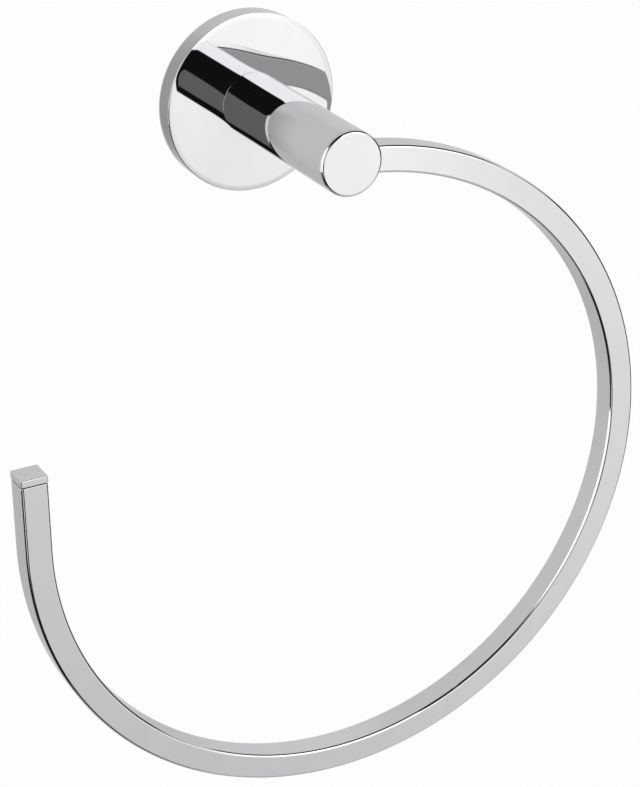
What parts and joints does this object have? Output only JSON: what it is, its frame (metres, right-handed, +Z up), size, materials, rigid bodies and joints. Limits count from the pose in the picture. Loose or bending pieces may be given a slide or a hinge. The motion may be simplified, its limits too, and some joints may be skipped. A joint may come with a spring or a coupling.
{
  "type": "towel ring",
  "caption": "Wall-fixed open towel ring: a round flange, a straight round post and a bent square-tube ring that is open at the upper left.",
  "frame": {"origin": "centre of the wall face, on the post's axis", "axes": "+X to the right as seen from in front, +Y into the wall (the post points along -Y), +Z up"},
  "size_m": [0.2, 0.068, 0.223],
  "materials": {
    "chrome": "bright polished chrome plating",
    "zinc_casting": "bare die-cast zinc, dull",
    "steel_screws": "bright zinc-plated steel"
  },
  "bodies": {
    "root": {"flange": "chrome", "wall_bracket": "zinc_casting", "flange_grub_screw": "steel_screws", "post": "chrome", "post_washer": "steel_screws", "post_screw": "steel_screws", "ring": "chrome", "ring_core": "zinc_casting", "ring_screw": "steel_screws", "ring_end_plug": "chrome", "end_cap": "chrome"}
  },
  "joints": []
}
